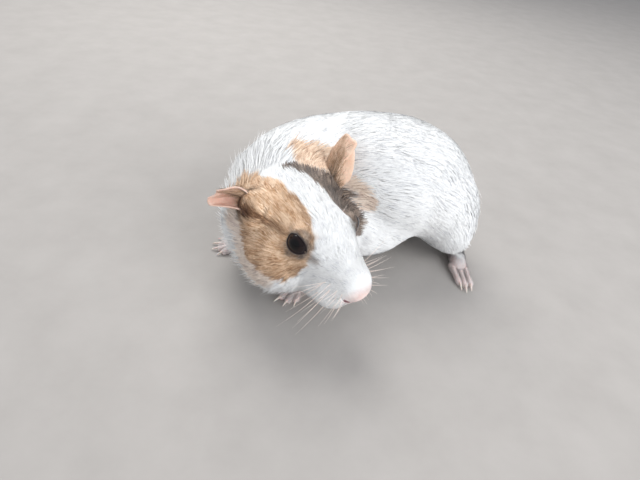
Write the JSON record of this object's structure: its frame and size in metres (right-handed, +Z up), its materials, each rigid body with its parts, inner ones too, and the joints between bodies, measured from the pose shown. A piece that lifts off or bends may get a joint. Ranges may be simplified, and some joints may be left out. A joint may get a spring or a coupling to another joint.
{
  "type": "guinea pig",
  "caption": "Young short-haired guinea pig resting with its head turned to its left and one hind foot stretched out, white with ginger and dark face patches.",
  "frame": {"origin": "middle of the animal's bounding box, on the floor that it rests on", "axes": "+X along the trunk from the chest to the rump, +Y away from the side that its head is turned to, +Z up"},
  "size_m": [0.1344, 0.1146, 0.0688],
  "materials": {
    "white_coat": "short soft white fur, slightly ruffled at the neck and rump",
    "face_coat": "short flat fur in white, ginger and grey-black patches",
    "bare_skin": "thin pink skin with sparse fine hair",
    "eye": "wet, dark brown to black",
    "claw": "smooth translucent horn"
  },
  "bodies": {
    "root": {"belly": "white_coat", "chest": "white_coat", "claw_forefoot_left_1": "claw", "claw_forefoot_left_2": "claw", "claw_forefoot_left_3": "claw", "claw_forefoot_left_4": "claw", "claw_forefoot_right_1": "claw", "claw_forefoot_right_2": "claw", "claw_forefoot_right_3": "claw", "claw_forefoot_right_4": "claw", "claw_hindfoot_left_1": "claw", "claw_hindfoot_left_2": "claw", "claw_hindfoot_left_3": "claw", "claw_hindfoot_right_1": "claw", "claw_hindfoot_right_2": "claw", "claw_hindfoot_right_3": "claw", "ear_left": "bare_skin", "ear_right": "bare_skin", "eye_left": "eye", "eye_right": "eye", "forefoot_left": "bare_skin", "forefoot_right": "bare_skin", "foreleg_left": "white_coat", "foreleg_right": "white_coat", "head": "face_coat", "hindfoot_left": "bare_skin", "hindfoot_right": "bare_skin", "hindleg_left": "white_coat", "hindleg_right": "white_coat", "neck": "white_coat", "rump": "white_coat"}
  },
  "joints": []
}
